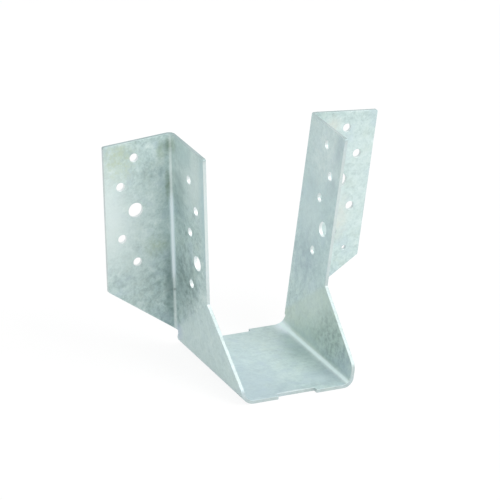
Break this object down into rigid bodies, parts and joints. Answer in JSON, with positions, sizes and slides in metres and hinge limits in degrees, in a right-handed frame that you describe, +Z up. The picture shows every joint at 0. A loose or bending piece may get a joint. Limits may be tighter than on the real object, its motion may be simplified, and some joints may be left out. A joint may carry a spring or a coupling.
{
  "type": "joist hanger",
  "caption": "Face-fixed timber joist hanger folded from galvanised steel sheet, with a flat seat, leaning sides and outward flanges with staggered nail holes and larger bolt holes.",
  "frame": {"origin": "middle of the object's box in X and Y, on the plane that the seat's underside stands on", "axes": "+X to the right across the joist, +Y into the header beam, +Z up"},
  "size_m": [0.1688, 0.084, 0.1296],
  "materials": {
    "galvanised_steel": "dull hot-dip galvanised with a mottled spangle"
  },
  "bodies": {
    "root": {"joist_hanger": "galvanised_steel"}
  },
  "joints": []
}
